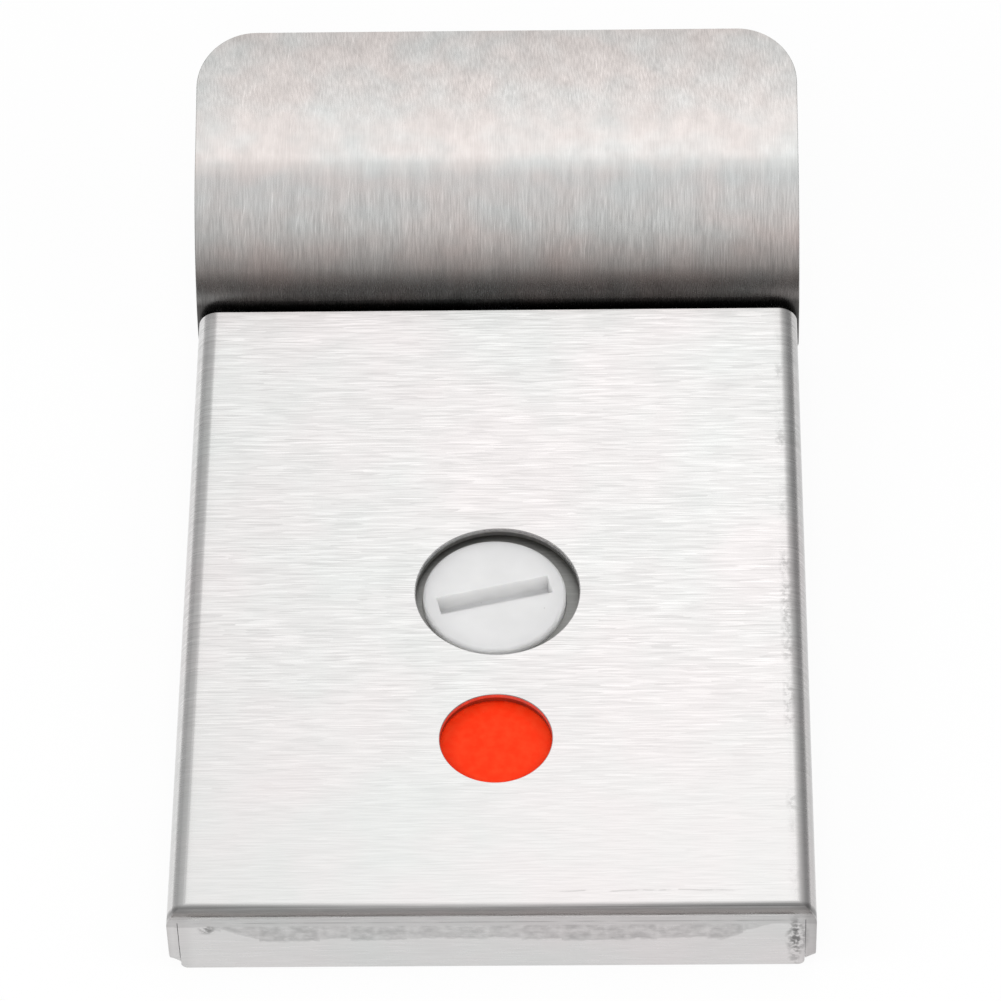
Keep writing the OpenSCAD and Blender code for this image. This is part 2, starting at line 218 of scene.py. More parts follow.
bush_r = 7.52
nut_r = 3.32
nut_pitch = 62.0
pin_r = 1.22
pin_y = 17.0
screw_r = 1.27
screw_head_r = 2.72
screw_head_h = screw_head_r - screw_r
pillar_inset = 6.2
pillar_x = cover_high.x - pillar_inset
pillar_ys = (cover_low.y + pillar_inset, cover_high.y - pillar_inset)
through = (-PAST, plate_t + PAST)
drill(pull, 0, 0, *through, bush_r)
drill(pull, 0, pin_y, *through, pin_r)
for side in (-1, 1):
    drill(pull, 0, side * nut_pitch / 2, *through, nut_r)
for x in (-pillar_x, pillar_x):
    for y in pillar_ys:
        drill(pull, x, y, *through, screw_r)
        drill(pull, x, y, 0, screw_head_h, screw_head_r, screw_r)
soften(pull, plate_edge)

# The side of the lip that faces the cover, which takes painted shade just above the cover's rear edge
sheltered = pull.data.attributes.new("sheltered", "FLOAT", "FACE")
for face in pull.data.polygons:
    sheltered.data[face.index].value = float(face.normal.y < -0.3 and face.center.y > foot_y)
to_metres(pull)


def rgb(code):
    """Linear RGBA of an sRGB hex colour."""
    parts = [int(code[i:i + 2], 16) / 255 for i in (1, 3, 5)]
    return [p / 12.92 if p <= 0.04045 else ((p + 0.055) / 1.055) ** 2.4 for p in parts] + [1]


def material_of(name):
    """A new material with an empty tree."""
    material = bpy.data.materials.new(name)
    material.use_nodes = True
    material.node_tree.nodes.clear()
    return material, material.node_tree


def add(tree, kind, inputs, stops=(), **settings):
    """Adds a node, sets it, and gives each input, by name or number, a value or another node's output.

    Mix has its factor at input 0 and what it mixes at 2 and 3, or at 6 and 7 for colours.
    """
    node = tree.nodes.new("ShaderNode" + kind)
    for name, value in settings.items():
        setattr(node, name, value)
    for name, value in inputs.items():
        if isinstance(value, bpy.types.NodeSocket):
            tree.links.new(value, node.inputs[name])
        else:
            node.inputs[name].default_value = value
    for number, (place, colour) in enumerate(stops):
        elements = node.color_ramp.elements
        element = elements[number] if number < 2 else elements.new(place)
        element.position = place
        element.color = colour
    return node


def marks(tree, sheet, width, length, slant=0.0, detail=2.0):
    """Noise drawn out into marks of this size in millimetres, on a sheet's own map."""
    drawn = add(tree, "Mapping", {
        "Vector": sheet,
        "Rotation": (0, 0, slant),
        "Scale": (width, length, 1),
    }, vector_type="TEXTURE")
    return add(tree, "TexNoise", {
        "Vector": drawn.outputs["Vector"],
        "Scale": 1.0,
        "Detail": detail,
        "Roughness": 0.6,
    }, noise_dimensions="2D").outputs["Fac"]


def product(tree, factors):
    """The factors multiplied together."""
    result = factors[0]
    for factor in factors[1:]:
        result = add(tree, "Math", {0: result, 1: factor}, operation="MULTIPLY").outputs[0]
    return result


# Belt-ground stainless: fine bright and dull scratches run along the blank, a few of them slanted. The
# tip is rubbed by fingers, so it is mottled and faintly pink; on top of that a painted highlight makes it
# brightest where it leaves the curl and painted shade makes it duller towards its end. Painted shade
# darkens the side facing the cover, just above the cover's rear edge, for the shadow in that corner. The
# grinding is drawn 0.14 mm wide so that it shows. Places are millimetres along the blank.
# Where the lip rises past the cover's top; the painted shade fades upwards from here
crevice_shade_along = wall_along + curl_r * math.asin((cover_high.z - foot_z) / curl_r)
crevice_shade_h = 3.8
rub_start = tip_along + 1
rub_full = tip_along + 7
clear_from = tip_along - 5
painted_light_from = tip_along + 2
pull_steel, tree = material_of("stainless_ground_lengthways")
blank = add(tree, "UVMap", {}, uv_map="blank").outputs["UV"]
along = add(tree, "SeparateXYZ", {"Vector": blank}).outputs["Y"]
rubbed = add(tree, "MapRange", {
    "Value": along,
    "From Min": rub_start,
    "From Max": rub_full,
}, interpolation_type="SMOOTHSTEP").outputs["Result"]
hair = marks(tree, blank, 0.14, 2.4)
rub = marks(tree, blank, 0.16, 0.9, math.radians(6))
mark = add(tree, "Mix", {0: rubbed, 2: hair, 3: rub}, data_type="FLOAT").outputs[0]
depth = add(tree, "ValToRGB", {
    "Fac": add(tree, "MapRange", {
        "Value": along,
        "From Min": clear_from,
        "From Max": end_along,
    }).outputs["Result"],
}, stops=[
    (0.0, (1, 1, 1, 1)),
    (0.24, (0.25, 0.25, 0.25, 1)),
    (0.42, (0.35, 0.35, 0.35, 1)),
    (0.66, (0.75, 0.75, 0.75, 1)),
]).outputs["Color"]
ground = add(tree, "MapRange", {
    "Value": mark,
    "From Min": 0.25,
    "From Max": 0.75,
    "To Min": 0.905,
    "To Max": 1.095,
}).outputs["Result"]
slanted = add(tree, "MapRange", {
    "Value": marks(tree, blank, 0.16, 4, math.radians(-7)),
    "From Min": 0.62,
    "From Max": 0.76,
    "To Min": 1.0,
    "To Max": 1.2,
}).outputs["Result"]
ground = product(tree, [ground, slanted])
ground = add(tree, "Mix", {0: depth, 2: 1.0, 3: ground}, data_type="FLOAT").outputs[0]
on_tip = add(tree, "MapRange", {
    "Value": along,
    "From Min": tip_along - 0.6,
    "From Max": tip_along + 0.8,
}, interpolation_type="SMOOTHSTEP").outputs["Result"]
clouds = add(tree, "Mix", {
    0: on_tip,
    2: marks(tree, blank, 1.1, 14),
    3: marks(tree, blank, 2.2, 2.8),
}, data_type="FLOAT").outputs[0]
mottle = add(tree, "MapRange", {
    "Value": clouds,
    "From Min": 0.3,
    "From Max": 0.7,
    "To Min": 0.94,
    "To Max": 1.06,
}).outputs["Result"]
# Painted highlight and shade along the tip: brighter where it leaves the curl, darker towards its end
painted_tip_light = add(tree, "MapRange", {
    "Value": along,
    "From Min": painted_light_from,
    "From Max": end_along,
    "To Min": 1.16,
    "To Max": 0.81,
}).outputs["Result"]
painted_tip_light = add(tree, "Mix", {0: on_tip, 2: 1.0, 3: painted_tip_light}, data_type="FLOAT").outputs[0]
warmth = add(tree, "Math", {
    0: on_tip,
    1: 0.1,
    2: marks(tree, blank, 9, 6),
}, operation="MULTIPLY_ADD").outputs[0]
tone = add(tree, "ValToRGB", {"Fac": warmth}, stops=[
    (0.35, rgb("#E1E2E1")),
    (0.72, rgb("#E8E0DD")),
]).outputs["Color"]
# Painted shade on the side facing the cover, darkest at the cover's rear edge and fading upwards, for the
# shadow in that corner
crevice_shade = add(tree, "MapRange", {
    "Value": add(tree, "Math", {
        0: marks(tree, blank, 3, 1.5),
        1: 0.8,
        2: along,
    }, operation="MULTIPLY_ADD").outputs[0],
    "From Min": crevice_shade_along - 0.2,
    "From Max": crevice_shade_along + crevice_shade_h,
    "To Min": 0.14,
    "To Max": 1.0,
}).outputs["Result"]
shaded_side = add(tree, "Attribute", {}, attribute_name="sheltered").outputs["Fac"]
crevice_shade = add(tree, "Mix", {0: shaded_side, 2: 1.0, 3: crevice_shade}, data_type="FLOAT").outputs[0]
shade = product(tree, [ground, mottle, painted_tip_light, crevice_shade])
colour = add(tree, "VectorMath", {0: tone, "Scale": shade}, operation="SCALE").outputs["Vector"]
rough = add(tree, "MapRange", {
    "Value": mark,
    "From Min": 0.3,
    "From Max": 0.7,
    "To Min": 0.3,
    "To Max": 0.22,
}).outputs["Result"]
rough = add(tree, "Mix", {0: depth, 2: 0.26, 3: rough}, data_type="FLOAT").outputs[0]
grooves = add(tree, "Bump", {"Height": mark, "Strength": 0.05, "Distance": 0.03 * MM}).outputs["Normal"]
steel = add(tree, "BsdfPrincipled", {
    "Base Color": colour,
    "Metallic": 1.0,
    "Roughness": rough,
    "Anisotropic": 0.7,
    "Tangent": add(tree, "Tangent", {}, direction_type="UV_MAP", uv_map="blank").outputs["Tangent"],
    "Normal": grooves,
})
add(tree, "OutputMaterial", {"Surface": steel.outputs["BSDF"]})
pull.data.materials.append(pull_steel)
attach(pull, "plate")
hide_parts("pull_plate")


# Bought-in fixings: turned or cold-headed mild steel with bright zinc plate. The nuts and the stop pin
# are pressed and riveted into the pull plate, the pillars are welded under the cover, and four
# countersunk screws join them.


def finish(material, *nodes):
    """Gives CAD nodes this material alone."""
    for node in nodes:
        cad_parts[node].data.materials.clear()
        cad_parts[node].data.materials.append(material)


# Bright zinc: pale bluish metal, cloudy at a millimetre or two, with a fine crystal frost.
zinc, tree = material_of("zinc_plate_bright")
point = add(tree, "TexCoord", {}).outputs["Object"]
cloud = add(tree, "TexNoise", {"Vector": point, "Scale": 1 / (1.6 * MM), "Detail": 3.0}).outputs["Fac"]
frost = add(tree, "TexNoise", {"Vector": point, "Scale": 1 / (0.15 * MM), "Detail": 2.0}).outputs["Fac"]
colour = add(tree, "ValToRGB", {"Fac": cloud}, stops=[
    (0.35, rgb("#B4BAC2")),
    (0.65, rgb("#D0D3D8")),
]).outputs["Color"]
rough = add(tree, "MapRange", {"Value": frost, "To Min": 0.24, "To Max": 0.42}).outputs["Result"]
frosted = add(tree, "Bump", {"Height": frost, "Strength": 0.1, "Distance": 0.02 * MM}).outputs["Normal"]
plating = add(tree, "BsdfPrincipled", {
    "Base Color": colour,
    "Metallic": 1.0,
    "Roughness": rough,
    "Normal": frosted,
})
add(tree, "OutputMaterial", {"Surface": plating.outputs["BSDF"]})
finish(zinc, "front_left_pillar", "front_right_pillar", "rear_left_pillar", "rear_right_pillar")
finish(zinc, "front_fixing_nut", "rear_fixing_nut", "stop_pin", "thrust_washer", "cover_screws")


# Bearings: an acetal bush pressed into the plate and a thin acetal washer under the cover.
# They are moulded, cream white and a little waxy.

acetal, tree = material_of("acetal_natural_moulded")
point = add(tree, "TexCoord", {}).outputs["Object"]
flow = add(tree, "TexNoise", {"Vector": point, "Scale": 1 / (3 * MM), "Detail": 3.0}).outputs["Fac"]
grain = add(tree, "TexNoise", {"Vector": point, "Scale": 1 / (0.2 * MM), "Detail": 2.0}).outputs["Fac"]
colour = add(tree, "ValToRGB", {"Fac": flow}, stops=[
    (0.35, rgb("#E6E2D6")),
    (0.65, rgb("#F0EDE4")),
]).outputs["Color"]
grained = add(tree, "Bump", {"Height": grain, "Strength": 0.08, "Distance": 0.03 * MM}).outputs["Normal"]
waxy = add(tree, "BsdfPrincipled", {
    "Base Color": colour,
    "Roughness": 0.38,
    "IOR": 1.48,
    "Subsurface Weight": 0.2,
    "Subsurface Radius": (1.0, 1.0, 0.85),
    "Subsurface Scale": 0.5 * MM,
    "Normal": grained,
})
add(tree, "OutputMaterial", {"Surface": waxy.outputs["BSDF"]})
finish(acetal, "pivot_bush", "glide_washer")


# Wave washer: hardened spring steel strip, blanked, set in three waves and left oiled and dark.

spring, tree = material_of("spring_steel_oiled")
point = add(tree, "TexCoord", {}).outputs["Object"]
film = add(tree, "TexNoise", {"Vector": point, "Scale": 1 / (2 * MM), "Detail": 4.0}).outputs["Fac"]
colour = add(tree, "ValToRGB", {"Fac": film}, stops=[
    (0.35, rgb("#63666E")),
    (0.65, rgb("#8A8C92")),
]).outputs["Color"]
rough = add(tree, "MapRange", {"Value": film, "To Min": 0.2, "To Max": 0.4}).outputs["Result"]
oiled = add(tree, "BsdfPrincipled", {"Base Color": colour, "Metallic": 1.0, "Roughness": rough})
add(tree, "OutputMaterial", {"Surface": oiled.outputs["BSDF"]})
finish(spring, "wave_washer")


# Release: one moulding in white nylon. The button has a coin slot, a flange carries the indicator disc,
# and the hub below turns in the bush and takes the square follower.

release_low, release_high = (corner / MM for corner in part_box("release_turn"))
button_r = 6.9
button_edge = 0.3
flange_r = 11.5
flange_z = 4.65
flange_t = 1.2
hub_r = 6.0
slot_turn = math.radians(14)
slot_l = 11.0
slot_w = 2.1
slot_depth = 2.1
slot_corner = 0.3
follower_w = 7.24
follower_top = 4.6
rivets = 3
rivet_r = 0.82
rivet_pitch = 9.9
rivet_turn = 30
moulded_edge = 0.08

bpy.ops.mesh.primitive_cylinder_add(
    vertices=128, radius=flange_r, depth=flange_t, location=(0, 0, flange_z + flange_t / 2))
bpy.ops.object.transform_apply()
release = bpy.context.object
release.name = "release_moulding"
bpy.ops.object.mode_set(mode="EDIT")
pick("faces", lambda f, at: f.normal.z > 0.9)
bpy.ops.mesh.inset(thickness=flange_r - button_r)
bpy.ops.mesh.extrude_region_move(
    TRANSFORM_OT_translate={"value": (0, 0, release_high.z - flange_z - flange_t)})
pick("edges", lambda e, at: at.z > release_high.z - NEAR)
bpy.ops.mesh.bevel(offset=button_edge, segments=6)
pick("faces", lambda f, at: f.normal.z < -0.9)
bpy.ops.mesh.inset(thickness=flange_r - hub_r)
bpy.ops.mesh.extrude_region_move(TRANSFORM_OT_translate={"value": (0, 0, release_low.z - flange_z)})
bpy.ops.object.mode_set(mode="OBJECT")

slot_top = release_high.z + PAST
slot_floor = release_high.z - slot_depth
bpy.ops.mesh.primitive_cube_add(size=1)
slot = bpy.context.object
bpy.ops.object.mode_set(mode="EDIT")
bpy.ops.transform.resize(value=(slot_l, slot_w, slot_top - slot_floor))
bpy.ops.transform.translate(value=(0, 0, (slot_top + slot_floor) / 2))
pick("edges", lambda e, at: at.z < slot_floor + NEAR and abs(at.y) > NEAR)
bpy.ops.mesh.bevel(offset=slot_corner, segments=4)
bpy.ops.object.mode_set(mode="OBJECT")
slot.rotation_euler.z = slot_turn
bpy.ops.object.transform_apply()
cut(release, slot)
bpy.ops.mesh.primitive_cube_add(size=1, location=(0, 0, (follower_top - PAST) / 2))
pocket = bpy.context.object
pocket.scale = (follower_w, follower_w, follower_top + PAST)
pocket.rotation_euler.z = slot_turn
bpy.ops.object.transform_apply()
cut(release, pocket)
for i in range(rivets):
    turn = slot_turn + math.radians(360 / rivets * i + rivet_turn)
    drill(
        release, rivet_pitch * math.cos(turn), rivet_pitch * math.sin(turn),
        flange_z - PAST, flange_z + flange_t + PAST, rivet_r)
soften(release, moulded_edge)
to_metres(release)

# White nylon: a satin, milky moulding. Light soaks into it, so its edges glow and the slot shades off
# softly. It has a trace of grain and a few specks of dirt.
nylon, tree = material_of("nylon_white_moulded")
point = add(tree, "TexCoord", {}).outputs["Object"]
grain = add(tree, "TexNoise", {"Vector": point, "Scale": 1 / (0.25 * MM), "Detail": 2.0}).outputs["Fac"]
cloud = add(tree, "TexNoise", {"Vector": point, "Scale": 1 / (4 * MM), "Detail": 2.0}).outputs["Fac"]
dirt = add(tree, "TexVoronoi", {"Vector": point, "Scale": 1 / (2.6 * MM)}).outputs["Distance"]
colour = add(tree, "ValToRGB", {"Fac": cloud}, stops=[
    (0.35, rgb("#DEDEDE")),
    (0.65, rgb("#E4E4E4")),
]).outputs["Color"]
clean = add(tree, "MapRange", {
    "Value": dirt,
    "From Min": 0.015,
    "From Max": 0.035,
    "To Min": 0.45,
    "To Max": 1.0,
}).outputs["Result"]
colour = add(tree, "VectorMath", {0: colour, "Scale": clean}, operation="SCALE").outputs["Vector"]
grained = add(tree, "Bump", {"Height": grain, "Strength": 0.08, "Distance": 0.03 * MM}).outputs["Normal"]
plastic = add(tree, "BsdfPrincipled", {
    "Base Color": colour,
    "Roughness": 0.42,
    "IOR": 1.53,
    "Subsurface Weight": 1.0,
    "Subsurface Radius": (1.0, 1.0, 0.97),
    "Subsurface Scale": 3.6 * MM,
    "Normal": grained,
})
add(tree, "OutputMaterial", {"Surface": plastic.outputs["BSDF"]})
release.data.materials.append(nylon)
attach(release, "release")
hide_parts("release_turn")


# Drive follower: sintered steel, pressed from powder, so it is dull grey and finely pitted.

sinter, tree = material_of("steel_sintered")
point = add(tree, "TexCoord", {}).outputs["Object"]
pits = add(tree, "TexVoronoi", {"Vector": point, "Scale": 1 / (0.25 * MM)}).outputs["Distance"]
patchy = add(tree, "TexNoise", {"Vector": point, "Scale": 1 / (1.2 * MM), "Detail": 3.0}).outputs["Fac"]
colour = add(tree, "ValToRGB", {"Fac": patchy}, stops=[
    (0.35, rgb("#7A7A7C")),
    (0.65, rgb("#96969A")),
]).outputs["Color"]
pitted = add(tree, "Bump", {"Height": pits, "Strength": 0.3, "Distance": 0.04 * MM}).outputs["Normal"]
powder = add(tree, "BsdfPrincipled", {
    "Base Color": colour,
    "Metallic": 1.0,
    "Roughness": 0.5,
    "Normal": pitted,
})
add(tree, "OutputMaterial", {"Surface": powder.outputs["BSDF"]})
finish(sinter, "drive_follower")


# Indicator disc: blanked from 1 mm cold-rolled steel and left in its dull mill finish, which shows faint
# rolling lines. Three flush aluminium rivets hold it on the release.

rolled, tree = material_of("steel_cold_rolled")
point = add(tree, "TexCoord", {}).outputs["Object"]
lines = add(tree, "TexNoise", {
    "Vector": add(tree, "Mapping", {
        "Vector": point,
        "Scale": (6 * MM, 0.2 * MM, 6 * MM),
    }, vector_type="TEXTURE").outputs["Vector"],
    "Scale": 1.0,
    "Detail": 3.0,
}).outputs["Fac"]
colour = add(tree, "ValToRGB", {"Fac": lines}, stops=[
    (0.35, rgb("#A2A2A0")),
    (0.65, rgb("#B2B2B0")),
]).outputs["Color"]
rough = add(tree, "MapRange", {"Value": lines, "To Min": 0.5, "To Max": 0.62}).outputs["Result"]
mill = add(tree, "BsdfPrincipled", {"Base Color": colour, "Metallic": 1.0, "Roughness": rough})
add(tree, "OutputMaterial", {"Surface": mill.outputs["BSDF"]})
finish(rolled, "indicator_disc")

# Soft aluminium: whitish metal, dulled by the rivet set, with small dents.
aluminium, tree = material_of("aluminium_rivet_plain")
point = add(tree, "TexCoord", {}).outputs["Object"]
dents = add(tree, "TexNoise", {"Vector": point, "Scale": 1 / (0.5 * MM), "Detail": 2.0}).outputs["Fac"]
colour = add(tree, "ValToRGB", {"Fac": dents}, stops=[
    (0.35, rgb("#C4C5C8")),
    (0.65, rgb("#DBDCDE")),
]).outputs["Color"]
dented = add(tree, "Bump", {"Height": dents, "Strength": 0.2, "Distance": 0.03 * MM}).outputs["Normal"]
rivet = add(tree, "BsdfPrincipled", {
    "Base Color": colour,
    "Metallic": 1.0,
    "Roughness": 0.36,
    "Normal": dented,
})
add(tree, "OutputMaterial", {"Surface": rivet.outputs["BSDF"]})
finish(aluminium, "disc_rivets")


# Colour labels: self-adhesive vinyl stuck on the indicator disc, red for engaged and green for vacant.
# They are printed matt, with the fine tooth of the film and a few specks of dust.

for node, name, shades in (
    ("engaged_label", "vinyl_red_matt", ("#FF3610", "#FF421C")),
    ("vacant_label", "vinyl_green_matt", ("#12955A", "#1AA565")),
):
    vinyl, tree = material_of(name)
    point = add(tree, "TexCoord", {}).outputs["Object"]
    tooth = add(tree, "TexNoise", {"Vector": point, "Scale": 1 / (0.8 * MM), "Detail": 4.0}).outputs["Fac"]
    dust = add(tree, "TexVoronoi", {"Vector": point, "Scale": 1 / (2.1 * MM)}).outputs["Distance"]
    colour = add(tree, "ValToRGB", {"Fac": tooth}, stops=[
        (0.35, rgb(shades[0])),
        (0.7, rgb(shades[1])),
    ]).outputs["Color"]
    speck = add(tree, "MapRange", {
        "Value": dust,
        "From Min": 0.05,
        "From Max": 0.02,
        "To Min": 0.0,
        "To Max": 0.35,
    }).outputs["Result"]
    colour = add(tree, "Mix", {0: speck, 6: colour, 7: rgb("#FFE9E0")}, data_type="RGBA").outputs[2]
    toothed = add(tree, "Bump", {"Height": tooth, "Strength": 0.1, "Distance": 0.02 * MM}).outputs["Normal"]
    film = add(tree, "BsdfPrincipled", {
        "Base Color": colour,
        "Roughness": 0.6,
        "Specular IOR Level": 0.12,
        "Normal": toothed,
    })
    add(tree, "OutputMaterial", {"Surface": film.outputs["BSDF"]})
    finish(vinyl, node)


# Cover: 1 mm stainless sheet, ground across its width, punched with two round holes and folded down on
# three sides. The punch draws the holes' upper edges in a little. The two front corners are closed on
# top and left open below as narrow seams.

side_r = 2.0
front_r = 1.4
seam = 0.06
side_foot = 2.5
front_foot = 0.6
hole_x = 0.3
release_hole_r = 7.9
window_r = 5.3
window_y = -18.1
holes = ((Vector((hole_x, 0)), release_hole_r), (Vector((hole_x, window_y)), window_r))
hole_edge = 0.1
cover_edge = 0.06
bend_margin = 0.1
seam_x = cover_high.x - cover_t - seam / 2
side_start = cover_high.x - side_r
side_low = cover_high.z - side_r
front_start = cover_low.y + front_r
front_low = cover_high.z - front_r


def rounded_block(low, high, edge_test, radius):
    """A block between two corners, with the edges that pass the test rounded."""
    bpy.ops.mesh.primitive_cube_add(size=1)
    block = bpy.context.object
    bpy.ops.object.mode_set(mode="EDIT")
    bpy.ops.transform.resize(value=[h - l for l, h in zip(low, high)])
    bpy.ops.transform.translate(value=[(h + l) / 2 for l, h in zip(low, high)])
    pick("edges", edge_test)
    bpy.ops.mesh.bevel(offset=radius, segments=14)
    bpy.ops.object.mode_set(mode="OBJECT")
    return block


def folded_block(half, front, rear, low, top, side_bend, front_bend):
    """A block with round side and front bends that meet in a mitre at the front corners."""
    sides = rounded_block(
        (-half, front - PAST, low), (half, rear, top),
        lambda e, at: at.z > top - NEAR and abs(at.x) > half - NEAR, side_bend)
    nose = rounded_block(
        (-half - PAST, front, low - PAST), (half + PAST, rear + PAST, top),
        lambda e, at: at.z > top - NEAR and at.y < front + NEAR, front_bend)
    cut(sides, nose, "INTERSECT")
    return sides


def at_front_corner(at):
    """Whether an edge lies on a seam or on the closed corner above it, which are left as folded."""
    on_seam = abs(abs(at.x) - seam_x) < seam and at.z > NEAR
    on_mitre = abs(at.x) > side_start - bend_margin and at.z > side_low - bend_margin
    return at.y < front_start + 2 * bend_margin and (on_seam or on_mitre)


cover = folded_block(cover_high.x, cover_low.y, cover_high.y, 0, cover_high.z, side_r, front_r)
cover.name = "cover_sheet"
cut(cover, folded_block(
    cover_high.x - cover_t, cover_low.y + cover_t, cover_high.y + PAST, -PAST, cover_high.z - cover_t,
    side_r - cover_t, front_r - cover_t))
for middle, radius in holes:
    drill(cover, middle.x, middle.y, cover_high.z - cover_t - PAST, cover_high.z + PAST, radius)
for side in (-1, 1):
    bpy.ops.mesh.primitive_cube_add(size=1)
    slit = bpy.context.object
    slit.location = (side * seam_x, cover_low.y, (front_low - PAST) / 2)
    slit.scale = (seam, 2 * (cover_t + NEAR), front_low + PAST)
    bpy.ops.object.transform_apply()
    cut(cover, slit)
select_only(cover)
bpy.ops.object.mode_set(mode="EDIT")
pick("edges", lambda e, at: at.z > cover_high.z - NEAR and any(
    (at.xy - middle).length < radius + NEAR for middle, radius in holes))
bpy.ops.mesh.bevel(offset=hole_edge, segments=4)
pick("edges", lambda e, at: at.z < NEAR and at.y < cover_low.y + NEAR and abs(at.x) > seam_x)
bpy.ops.mesh.bevel(offset=side_foot, segments=10)
pick("edges", lambda e, at: at.z < NEAR and at.y < cover_low.y + cover_t and abs(
    abs(at.x) - seam_x + seam / 2) < NEAR)
bpy.ops.mesh.bevel(offset=front_foot, segments=6)
bpy.ops.object.mode_set(mode="OBJECT")
soften(cover, cover_edge, at_front_corner)

sheet_map = cover.data.uv_layers.new(name="sheet")
for face in cover.data.polygons:
    for index in face.loop_indices:
        x, y, z = cover.data.vertices[cover.data.loops[index].vertex_index].co
        across, along = y, x
        if y < front_start + NEAR and abs(face.normal.x) < 0.7 and face.normal.y < 0.5:
            turn = max(0, min(math.atan2(front_start - y, z - front_low), math.pi / 2))
            across = front_start - front_r * turn - max(0, front_low - z)
        elif abs(x) > side_start - NEAR:
            turn = max(0, min(math.atan2(abs(x) - side_start, z - side_low), math.pi / 2))
            along = math.copysign(side_start + side_r * turn + max(0, side_low - z), x)
        sheet_map.data[index].uv = (across, along)

# The cut edges, which the punch and the shear leave rough: both holes, the rear edge and the feet
sheared = cover.data.attributes.new("sheared", "FLOAT", "FACE")
for face in cover.data.polygons:
    in_hole = any((face.center.xy - middle).length < radius + NEAR for middle, radius in holes)
    rear_edge = face.normal.y > 0.9 and face.center.y > cover_high.y - NEAR
    foot_edge = face.normal.z < -0.9 and face.center.z < NEAR
    sheared.data[face.index].value = float(in_hole or rear_edge or foot_edge)
to_metres(cover)

# Cross-ground stainless: fine scratches across the plate, drawn 0.1 to 0.2 mm wide so that they show,
# give a bright silky face with soft stains. The bends are stretched rougher, and painted shade darkens the
# front bend. The right-hand bend is scuffed. Painted shade greys the flanges, most of all on the right.
# The cut edges are rough, burnished at the top and torn dark below. Below the front bend lie a darker band
# and a crease line drawn in painted shade, then a row of grey press marks, with a dirty patch near each
# end. The face has a scored line. Places are millimetres on the unfolded sheet, and depths are taken down
# the front flange from the end of its bend.
flange_top = front_start - front_r * math.pi / 2
faint_until = -30.0
crisp_from = -8.0
front_bend_middle = 1.36
side_bend_middle = side_start + 0.8
burnish_h = 0.4
burnish_fade = 0.15
press_depth = 2.4
press_w = 3.2
press_full = 21.5
press_end = 26.5
crease_depth = 0.1
neck_end = 0.5
neck_fade = 0.2
dirt_patches = (((flange_top - 1.1, -26.3), (0.7, 0.9)), ((flange_top - 2.7, 28.2), (2.6, 1.1)))
score_across = -36.2
score_middle = 14.3
score_half = 9.5

cover_steel, tree = material_of("stainless_ground_crossways")
sheet = add(tree, "UVMap", {}, uv_map="sheet").outputs["UV"]
place = add(tree, "SeparateXYZ", {"Vector": sheet})
across = place.outputs["X"]
along = place.outputs["Y"]
aside = add(tree, "Math", {0: along}, operation="ABSOLUTE").outputs[0]
depth = add(tree, "Math", {0: flange_top, 1: across}, operation="SUBTRACT").outputs[0]
mottle = marks(tree, sheet, 0.9, 1.3)
speckle = marks(tree, sheet, 0.6, 0.6)

mark = marks(tree, sheet, 0.19, 3.5, detail=1.0)
ground = add(tree, "MapRange", {
    "Value": mark,
    "From Min": 0.25,
    "From Max": 0.75,
    "To Min": 0.985,
    "To Max": 1.015,
}).outputs["Result"]
scratch = add(tree, "TexVoronoi", {
    "Vector": add(tree, "Mapping", {
        "Vector": sheet,
        "Rotation": (0, 0, math.radians(0.5)),
        "Scale": (0.12, 2.6, 1),
    }, vector_type="TEXTURE").outputs["Vector"],
    "Scale": 1.0,
}, voronoi_dimensions="2D").outputs["Color"]
bright_lines = add(tree, "MapRange", {
    "Value": scratch,
    "From Min": 0.58,
    "From Max": 0.88,
    "To Min": 1.0,
    "To Max": 1.13,
}).outputs["Result"]
dark_lines = add(tree, "MapRange", {
    "Value": scratch,
    "From Min": 0.42,
    "From Max": 0.12,
    "To Min": 1.0,
    "To Max": 0.89,
}).outputs["Result"]
ground = product(tree, [ground, bright_lines, dark_lines])
crisp = add(tree, "MapRange", {
    "Value": across,
    "From Min": faint_until,
    "From Max": crisp_from,
    "To Min": 0.22,
    "To Max": 1.0,
}).outputs["Result"]
ground = add(tree, "Mix", {0: crisp, 2: 1.0, 3: ground}, data_type="FLOAT").outputs[0]

on_flange = add(tree, "MapRange", {
    "Value": depth,
    "From Min": -0.75,
    "From Max": -0.35,
}, interpolation_type="SMOOTHSTEP").outputs["Result"]
# Painted shade: the front flange is greyed
painted_flange_shade = add(tree, "Mix", {0: on_flange, 2: 1.0, 3: 0.85}, data_type="FLOAT").outputs[0]
neck = product(tree, [
    on_flange,
    add(tree, "MapRange", {
        "Value": depth,
        "From Min": neck_end + neck_fade,
        "From Max": neck_end,
    }).outputs["Result"],
])
neck_tone = add(tree, "Mix", {0: neck, 2: 1.0, 3: 0.83}, data_type="FLOAT").outputs[0]

front_bend = add(tree, "MapRange", {
    "Value": add(tree, "Math", {
        0: add(tree, "Math", {0: depth, 1: front_bend_middle}, operation="ADD").outputs[0],
    }, operation="ABSOLUTE").outputs[0],
    "From Min": 0.7,
    "From Max": 0.1,
}, interpolation_type="SMOOTHSTEP").outputs["Result"]
side_bend = add(tree, "MapRange", {
    "Value": add(tree, "Math", {
        0: add(tree, "Math", {0: aside, 1: side_bend_middle}, operation="SUBTRACT").outputs[0],
    }, operation="ABSOLUTE").outputs[0],
    "From Min": 1.5,
    "From Max": 0.2,
}, interpolation_type="SMOOTHSTEP").outputs["Result"]
# Painted shade across the middle of the front bend
painted_bend_shade = add(tree, "Mix", {0: front_bend, 2: 1.0, 3: 0.47}, data_type="FLOAT").outputs[0]
